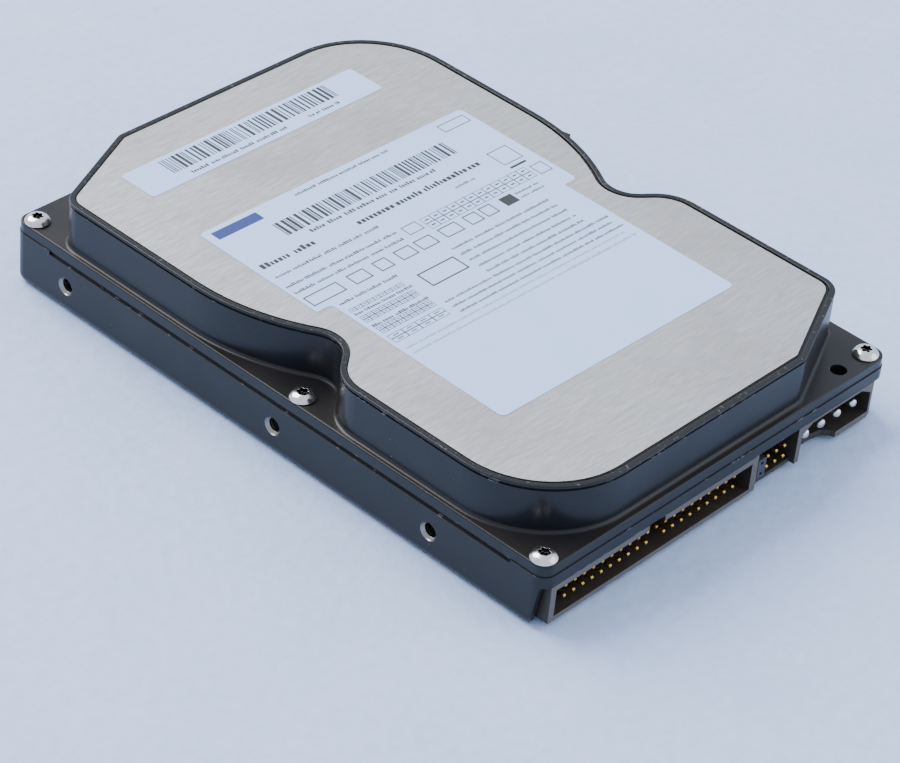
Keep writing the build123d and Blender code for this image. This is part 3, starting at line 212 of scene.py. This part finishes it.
# ---------------------------------------------------------------- materials
# millimetres, in the frame
SIDE_HOLES_Y, SIDE_HOLES_Z = (-44.5, -2.9, 57.1), 6.35
MOUTH_R = 2.12  # bare metal reaches this far from a side hole's axis
BARE_X = 46.5  # and lies this far out or farther
FLANGE_Z, COVER_Z = 16.0, 20.0  # paint that faces up is flange below the first, cover above the second
RIM_Z = 24.95  # paint above this is the rim around the plate
SOCKET_Z = 15.1  # about where the cover screws' drive sockets end
FRONT_Y = -73.0  # the front of the connector housing
METAL_GRAIN = 0.3

WAVE_RATE = 20  # radians for each unit of length in a wave texture of scale 1


def black_paint():
    """Satin black enamel with a rim crest lightened in specks, partly wear and partly a painted highlight,
    bare hole mouths and a few dust specks.
    """
    s = Shade("black_paint", (0.010, 0.0105, 0.012), Specular_IOR_Level=0.27)
    s.set("Coat Weight", 0.06)
    s.set("Coat Roughness", 0.14)
    up = s.span(s.facing(2), 0.7, 0.95)
    flange = s.both(up, s.past(2, COVER_Z, FLANGE_Z))
    base = s.mix(s.noise(9, 3), (0.007, 0.0073, 0.0082), (0.011, 0.0115, 0.013))
    base = s.mix(s.both(flange, s.noise(12, 3)), base, (0.028, 0.024, 0.022))
    specks = s.both(s.span(s.cells(2.3), 0.06, 0.035), s.span(s.noise(5), 0.52, 0.6))
    base = s.mix(specks, base, (0.13, 0.13, 0.14))
    rim = s.past(2, RIM_Z, RIM_Z + 0.2)
    # up-facing rim crest lightened in specks: partly dust and wear, partly a painted highlight of the sky
    # on the crest
    rim_specks_and_highlight = s.both(s.both(rim, up), s.span(s.noise(0.9, 4), 0.60, 0.68))
    base = s.mix(rim_specks_and_highlight, base, (0.075, 0.073, 0.072))
    edge = s.both(s.edges(0.3), s.span(s.noise(2.4, 4), 0.6, 0.66))
    base = s.mix(edge, base, (0.28, 0.27, 0.26))
    inside = s.math("SUBTRACT", 1, s.span(s.math("ABSOLUTE", s.facing(0), 0), 0.9, 0.95))
    mouths = None
    for y in SIDE_HOLES_Y:
        mouth = s.near((0, y, SIDE_HOLES_Z), (0, 1, 1), MOUTH_R)
        mouths = mouth if mouths is None else s.either(mouths, mouth)
    outer = s.span(s.math("ABSOLUTE", s.axis(0), 0), BARE_X * MM, (BARE_X + 0.3) * MM)
    bare = s.both(s.both(mouths, inside), outer)
    base = s.mix(bare, base, (0.26, 0.25, 0.235))
    s.set("Base Color", base)
    s.set("Metallic", bare)
    s.set("Roughness", s.span(s.noise(14, 4), 0.3, 0.7, 0.26, 0.4))
    thread = s.both(bare, s.waves(0.79))
    peel = s.both(s.noise(0.55, 2), 0.12)
    s.bump(s.math("ADD", peel, thread), 0.12, 0.6, round_edges_mm=0.15)
    return s.material


def brushed_plate():
    """Stainless sheet brushed across the width, with faint stains."""
    s = Shade("brushed_plate", (0.6, 0.57, 0.55), metallic=1.0)
    fine = s.noise(0.16, 3, stretch=(0.05, 1, 1))
    broad = s.noise(0.9, 3, stretch=(0.03, 1, 1))
    grain = s.math("ADD", s.both(fine, 0.88), s.both(broad, 0.12))
    base = s.mix(s.span(grain, 0.35, 0.65), (0.55, 0.53, 0.515), (0.69, 0.67, 0.65))
    base = s.mix(s.span(s.noise(26, 4), 0.5, 0.72, 0, 0.4), base, (0.47, 0.43, 0.40))
    s.set("Base Color", base)
    s.set("Roughness", s.span(grain, 0.35, 0.65, 0.34, 0.44))
    s.bump(fine, 0.004, 0.5)
    return s.material


def label():
    """Satin film with a faint fibre."""
    # the strong blue of the film is painted sky light on a paler sheet
    s = Shade("label", (0.50, 0.68, 1.0), 0.42)
    s.set("Base Color", s.mix(s.noise(11, 4), (0.48, 0.66, 0.985), (0.53, 0.70, 1.0)))
    s.set("Roughness", s.span(s.noise(3, 3), 0.3, 0.7, 0.36, 0.5))
    s.bump(s.noise(0.35, 3), 0.004, 0.4)
    return s.material


def metal(name, color, roughness, tarnish=(0.3, 0.28, 0.25)):
    """Bare or plated metal with fine grain and a little tarnish."""
    s = Shade(name, color, metallic=1.0)
    dull = s.span(s.noise(2.2, 4), 0.52, 0.72, 0, 0.5)
    s.set("Base Color", s.mix(dull, color, tarnish))
    s.set("Roughness", s.span(s.noise(4 * METAL_GRAIN, 3), 0.3, 0.7, roughness * 0.75, roughness * 1.3))
    s.bump(s.noise(METAL_GRAIN, 2), 0.006, 0.5, round_edges_mm=0.12)
    return s.material


def screw_steel():
    """Bright plated screws, with painted shade darkening their drive sockets."""
    s = Shade("screw_steel", (0.74, 0.72, 0.69), metallic=1.0)
    upright = s.span(s.math("ABSOLUTE", s.facing(2), 0), 0.35, 0.25)
    socket_wall_shade = s.both(upright, s.past(2, SOCKET_Z + 0.1, SOCKET_Z + 0.2))
    low_face = s.both(s.past(2, SOCKET_Z + 0.35, SOCKET_Z + 0.2), s.past(2, SOCKET_Z - 0.3, SOCKET_Z - 0.2))
    floor = s.both(s.span(s.facing(2), 0.8, 0.9), low_face)
    dull = s.span(s.noise(1.6, 4), 0.55, 0.72, 0, 0.35)
    base = s.mix(dull, (0.74, 0.72, 0.69), (0.34, 0.31, 0.27))
    # socket walls and floors painted near black: painted shade in the recesses
    s.set("Base Color", s.mix(s.either(socket_wall_shade, floor), base, (0.05, 0.045, 0.04)))
    s.set("Roughness", s.span(s.noise(0.9, 3), 0.3, 0.7, 0.14, 0.26))
    s.bump(s.noise(0.3, 2), 0.004, 0.4, round_edges_mm=0.12)
    return s.material


def turned(name, color, roughness):
    """Machined metal with fine lathe marks."""
    s = Shade(name, color, metallic=1.0)
    marks = s.noise(0.18, 2, stretch=(1, 1, 0.2))
    s.set("Base Color", s.mix(marks, tuple(0.85 * c for c in color), color))
    s.set("Roughness", s.span(marks, 0.3, 0.7, roughness * 0.8, roughness * 1.25))
    s.bump(marks, 0.005, 0.5, round_edges_mm=0.1)
    return s.material


def plastic(name, color, roughness, edge_highlight=0.0, grain_mm=0.35):
    """Moulded plastic, its edges painted paler as a highlight."""
    s = Shade(name, color, roughness)
    pale = tuple(c + (0.16 - c) * edge_highlight for c in color)
    base = s.mix(s.noise(4, 3), tuple(0.85 * c for c in color), tuple(1.15 * c for c in color))
    # edges painted paler: a painted highlight
    s.set("Base Color", s.mix(s.both(s.edges(0.3), edge_highlight), base, pale))
    s.set("Roughness", s.span(s.noise(1.5, 3), 0.3, 0.7, roughness * 0.85, roughness * 1.15))
    s.bump(s.noise(grain_mm, 2), 0.012, 0.4, round_edges_mm=0.1)
    return s.material


def connector_plastic():
    """Brown-black glass-filled nylon, its mouth faces and edges painted paler as the light falling on them.
    """
    s = Shade("connector_plastic", (0.028, 0.021, 0.017), 0.5)
    base = s.mix(s.noise(4, 3), (0.024, 0.018, 0.014), (0.034, 0.026, 0.021))
    # front faces painted paler: painted light where the light falls on them
    mouth = s.both(s.span(s.facing(1), -0.8, -0.95), s.past(1, FRONT_Y + 0.4, FRONT_Y + 0.2))
    front_light_color = s.mix(s.noise(0.8, 4), (0.075, 0.067, 0.06), (0.125, 0.112, 0.1))
    # edges painted paler: a painted highlight
    base = s.mix(s.both(s.edges(0.25), 0.5), base, (0.09, 0.08, 0.07))
    s.set("Base Color", s.mix(mouth, base, front_light_color))
    s.set("Roughness", s.span(s.noise(1.5, 3), 0.3, 0.7, 0.42, 0.6))
    s.bump(s.noise(0.35, 2), 0.012, 0.4, round_edges_mm=0.08)
    return s.material


def cloth(name, color):
    """Felt of matted fibres."""
    s = Shade(name, color, 0.9, Sheen_Weight=0.3)
    fibre = s.noise(0.25, 5)
    s.set("Base Color", s.mix(fibre, tuple(0.8 * c for c in color), color))
    s.bump(fibre, 0.08, 0.7)
    return s.material


def board_green():
    """Solder mask over copper traces that run both ways."""
    s = Shade("board_green", (0.01, 0.09, 0.05), 0.3)
    runs = s.noise(1.1, 1, stretch=(1, 0.12, 1))
    cross = s.noise(1.1, 1, stretch=(0.12, 1, 1))
    zone = s.span(s.noise(14, 1), 0.48, 0.52)
    lines = s.mix(zone, s.span(runs, 0.52, 0.54), s.span(cross, 0.52, 0.54))
    s.set("Base Color", s.mix(lines, (0.006, 0.07, 0.035), (0.02, 0.17, 0.085)))
    s.set("Roughness", s.span(s.noise(3), 0.3, 0.7, 0.24, 0.36))
    s.bump(lines, 0.03, 0.6)
    return s.material


def windings():
    """Enamelled wire, laid turn by turn."""
    s = Shade("copper", (0.6, 0.25, 0.1), 0.3, 0.85)
    turns = s.waves(0.25, "Z")
    s.set("Base Color", s.mix(turns, (0.32, 0.1, 0.03), (0.75, 0.34, 0.14)))
    s.set("Roughness", s.span(s.noise(1), 0.3, 0.7, 0.25, 0.4))
    s.bump(turns, 0.08, 0.8)
    return s.material


def laminations():
    """Stack of thin steel sheets seen edge on."""
    s = Shade("laminations", (0.2, 0.2, 0.21), 0.45, 0.9)
    sheets = s.waves(0.3, "Z")
    s.set("Base Color", s.mix(sheets, (0.1, 0.1, 0.11), (0.3, 0.3, 0.31)))
    s.bump(sheets, 0.05, 0.7)
    return s.material


def flex_film():
    """Amber film over copper strips."""
    s = Shade("flex_film", (0.4, 0.17, 0.03), 0.28)
    strips = s.span(s.waves(0.7, "X"), 0.45, 0.55)
    s.set("Base Color", s.mix(strips, (0.3, 0.11, 0.02), (0.55, 0.27, 0.07)))
    s.set("Roughness", s.span(s.noise(2), 0.3, 0.7, 0.22, 0.36))
    s.bump(strips, 0.02, 0.5)
    return s.material


def disk_mirror():
    """Polished platter with faint haze."""
    s = Shade("disk_mirror", (0.75, 0.74, 0.72), metallic=1.0)
    s.set("Base Color", s.mix(s.noise(18, 3), (0.7, 0.69, 0.67), (0.78, 0.77, 0.76)))
    s.set("Roughness", s.span(s.noise(9, 3), 0.3, 0.7, 0.03, 0.07))
    return s.material


def make_materials():
    """One material for each slot of the record."""
    return {
        "black_paint": black_paint(),
        "brushed_plate": brushed_plate(),
        "label": label(),
        "screw_steel": screw_steel(),
        "machined_steel": turned("machined_steel", (0.52, 0.52, 0.53), 0.3),
        "machined_aluminium": turned("machined_aluminium", (0.72, 0.73, 0.74), 0.34),
        "bronze": metal("bronze", (0.55, 0.36, 0.16), 0.45, tarnish=(0.25, 0.14, 0.06)),
        "laminations": laminations(),
        "copper": windings(),
        "magnet": metal("magnet", (0.6, 0.6, 0.62), 0.22),
        "disk_mirror": disk_mirror(),
        "soft_rubber": plastic("soft_rubber", (0.02, 0.02, 0.02), 0.8),
        "foam": plastic("foam", (0.035, 0.035, 0.038), 0.9, grain_mm=0.6),
        "ceramic": plastic("ceramic", (0.05, 0.05, 0.055), 0.2),
        "chip_black": plastic("chip_black", (0.018, 0.018, 0.02), 0.55),
        "connector_plastic": connector_plastic(),
        "jumper_plastic": plastic("jumper_plastic", (0.03, 0.037, 0.05), 0.45, edge_highlight=0.4),
        "white_plastic": plastic("white_plastic", (0.7, 0.68, 0.6), 0.5),
        "flex_film": flex_film(),
        "filter_cloth": cloth("filter_cloth", (0.78, 0.78, 0.74)),
        "gold_pins": metal("gold_pins", (0.62, 0.41, 0.10), 0.3, tarnish=(0.3, 0.18, 0.04)),
        "tinned_pins": metal("tinned_pins", (0.75, 0.74, 0.72), 0.25),
        "board_green": board_green(),
        "crystal_can": metal("crystal_can", (0.68, 0.68, 0.68), 0.25),
        "capacitor_yellow": plastic("capacitor_yellow", (0.6, 0.36, 0.03), 0.45, edge_highlight=0.2),
    }


def dress_cad_nodes(materials):
    """Each CAD node gets the material of its slot."""
    for part in frame["record"]["subparts"]:
        node = frame["nodes"][part["node"]]
        node.data.materials.clear()
        node.data.materials.append(materials[part["material_slot"]])


def ink(name, color):
    """Printing ink, a little uneven."""
    s = Shade(name, color)
    s.set("Base Color", s.mix(s.noise(0.8, 4), color, tuple(c + (0.6 - c) * 0.05 for c in color)))
    return s.material


# ---------------------------------------------------------------- printing on the labels
INK_T = 0.015  # mm above the label
DARK, GREY, BLUE, PALE = range(4)  # the inks' places in the material list


class Print:
    """Flat bars of ink on a label, in millimetres from the label's middle."""

    def __init__(self, name, middle, turn, node, materials):
        self.mesh = bmesh.new()
        self.name, self.node, self.materials = name, node, materials
        self.draw = random.Random(name)
        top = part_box(node)[1].z
        self.to_frame = (
            Matrix.Translation((middle[0] * MM, middle[1] * MM, top))
            @ Matrix.Rotation(math.radians(turn), 4, "Z")
        )

    def bar(self, left, right, low, high, color=DARK):
        """One box of ink."""
        corners = [
            self.mesh.verts.new(self.to_frame @ Vector((x * MM, y * MM, z * MM)))
            for z in (-INK_T / 2, INK_T)
            for x, y in ((left, low), (right, low), (right, high), (left, high))
        ]
        sides = ((3, 2, 1, 0), (4, 5, 6, 7), (0, 1, 5, 4), (1, 2, 6, 5), (2, 3, 7, 6), (3, 0, 4, 7))
        for order in sides:
            self.mesh.faces.new([corners[i] for i in order]).material_index = color

    def line(self, left, right, y, height, color=GREY, word=5.0):
        """A row of small plain blocks, grouped like words but spelling nothing."""
        x = left
        while x < right - 0.4:
            end = min(right, x + word * self.draw.uniform(0.35, 1.2))
            while x < end:
                wide = height * self.draw.uniform(0.3, 0.6)
                tall = height * self.draw.choice((0.7, 0.7, 1.0))
                self.bar(x, x + wide, y - height / 2, y - height / 2 + tall, color)
                x += wide + height * 0.22
            x = end + height * 0.9

    def stripes(self, left, right, low, high):
        """A block of upright stripes of random widths, which says nothing."""
        x = left
        while x < right:
            width = self.draw.choice((0.25, 0.25, 0.5, 0.75))
            self.bar(x, min(right, x + width), low, high)
            x += width + self.draw.choice((0.25, 0.4, 0.5, 0.75))

    def frame_box(self, left, right, low, high, width=0.22, color=GREY):
        """The outline of a box."""
        self.bar(left, right, low, low + width, color)
        self.bar(left, right, high - width, high, color)
        self.bar(left, left + width, low + width, high - width, color)
        self.bar(right - width, right, low + width, high - width, color)

    def grid(self, left, right, low, high, columns, rows):
        """A ruled table with small marks in its cells."""
        wide, tall = (right - left) / columns, (high - low) / rows
        for column in range(columns):
            for row in range(rows):
                x, y = left + column * wide, low + row * tall
                self.frame_box(x, x + wide, y, y + tall, 0.12)
                self.bar(x + wide * 0.3, x + wide * 0.7, y + tall * 0.42, y + tall * 0.6, GREY)

    def finish(self):
        data = bpy.data.meshes.new(self.name)
        self.mesh.to_mesh(data)
        self.mesh.free()
        for material in self.materials:
            data.materials.append(material)
        piece = bpy.data.objects.new(self.name, data)
        bpy.context.scene.collection.objects.link(piece)
        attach(piece, "chassis")


def print_labels():
    """Generic printing: bars, boxes and stripes where such labels carry words and marks."""
    inks = [
        ink("ink_dark", (0.008, 0.009, 0.013)),
        ink("ink_grey", (0.035, 0.04, 0.055)),
        ink("ink_blue", (0.006, 0.03, 0.20)),
        ink("ink_pale", (0.28, 0.33, 0.48)),
    ]
    serial = Print("serial_label_print", (-2.3, 54.0), 0, "serial_label", inks)
    serial.stripes(-23.5, 23.5, -1.2, 3.9)
    serial.line(-20.5, 5.5, -3.1, 0.9, word=4)
    serial.line(12.5, 21, -3.1, 0.9, word=3)
    serial.finish()

    main = Print("main_label_print", (-0.4, -6.3), -0.7, "main_label", inks)
    main.bar(-35, -23, 35.6, 38.3, BLUE)
    main.line(-12.6, 13.4, 37.8, 0.8)
    main.frame_box(28, 35.6, 35, 37.8)
    main.stripes(-23.4, 24.7, 28.2, 33)
    main.line(-19, 16, 26.6, 1.1)
    main.line(-35.2, -20.4, 23.5, 1.6, DARK, 12)
    main.line(-9.8, 24.9, 22.8, 1.6, DARK, 10)
    main.line(-35.3, -7.4, 19.3, 0.8)
    main.line(14.7, 20.2, 19.3, 0.7)
    main.frame_box(28.6, 34.2, 18.6, 24)
    main.bar(28.8, 33.4, 16.9, 17.5)
    main.line(-36, -6.1, 15.6, 0.8)
    main.line(-36, -6.1, 13.1, 0.8)
    main.frame_box(-4.5, -0.4, 13, 16)
    main.grid(0.6, 31.2, 11.8, 15.8, 12, 2)
    main.frame_box(32.2, 35.6, 11.6, 15.2)
    boxes = (
        (-36, 8.8), (-24.6, 4.6), (-17.6, 3.6), (-11.7, 4.4),
        (-6.1, 4.6), (0.7, 5), (7.8, 3.6), (12.4, 3.4),
    )
    for left, width in boxes:
        main.frame_box(left, left + width, 7.6, 11, 0.3)
    main.bar(18.3, 21.8, 7.8, 10.8)
    main.line(22.6, 29.4, 10, 0.6)
    main.line(22.6, 29.4, 8.4, 0.6)
    for y in (5, 0.7, -4.1):
        main.line(-31.9, -16.8, y, 0.8)
    for y, rows in ((1.6, 1), (-2.6, 2), (-7.0, 2)):
        main.grid(-31.9, -17.4, y, y + 1.1 * rows, 9, rows)
    main.grid(-32.1, -17.4, -10.7, -8.1, 4, 2)
    main.frame_box(-13.4, -3.2, -2.2, 2.6, 0.35, DARK)
    for y in (4.4, 2, -0.4, -2.9, -5.2):
        main.line(-1.5, 26.4, y, 0.7)
    for y in (-7.3, -9.3, -11.3):
        main.line(-15.4, 31.4, y, 0.65)
    main.line(-32, 30, -13.2, 0.55, PALE)
    main.line(-32, 12, -15.1, 0.55, PALE)
    main.line(12.4, 31, -15.1, 0.75, PALE)
    main.finish()


# ---------------------------------------------------------------- floor and light
FLOOR_GAP = 0.02  # mm, so that the floor and the bottom pads don't share a plane


def add_floor():
    """A pale, slightly mottled sheet."""
    bpy.ops.mesh.primitive_plane_add(size=12, location=(0, 0, -FLOOR_GAP * MM))
    floor = bpy.context.object
    floor.name = "floor"
    s = Shade("floor", (0.53, 0.65, 0.90), 0.6)
    mottle = s.math("ADD", s.both(s.noise(2.6, 5), 0.6), s.both(s.noise(26, 3), 0.4))
    s.set("Base Color", s.mix(s.span(mottle, 0.36, 0.64), (0.49, 0.62, 0.90), (0.56, 0.69, 0.96)))
    s.bump(s.noise(3.2, 4), 0.5, 0.5)
    floor.data.materials.append(s.material)


def add_area(name, place, size, watts, color):
    """A soft square light aimed at the drive."""
    data = bpy.data.lights.new(name, "AREA")
    data.size, data.energy, data.color = size, watts, color
    light = bpy.data.objects.new(name, data)
    light.location = place
    light.rotation_mode = "QUATERNION"
    light.rotation_quaternion = (-Vector(place)).to_track_quat("-Z", "Y")
    bpy.context.scene.collection.objects.link(light)


def add_light():
    """A bright window behind the drive, a broad dim panel in front and a pale sky all round."""
    world = bpy.data.worlds.new("sky")
    bpy.context.scene.world = world
    world.use_nodes = True
    background = world.node_tree.nodes["Background"]
    background.inputs["Color"].default_value = (0.74, 0.83, 1.0, 1)
    background.inputs["Strength"].default_value = 1.32
    add_area("window", (-0.15, 1.2, 1.3), 1.3, 46, (1.0, 0.98, 0.95))
    add_area("panel", (1.35, -1.6, 1.1), 2.0, 17, (1.0, 0.98, 0.95))


add_camera()
dress_cad_nodes(make_materials())
print_labels()
add_floor()
add_light()
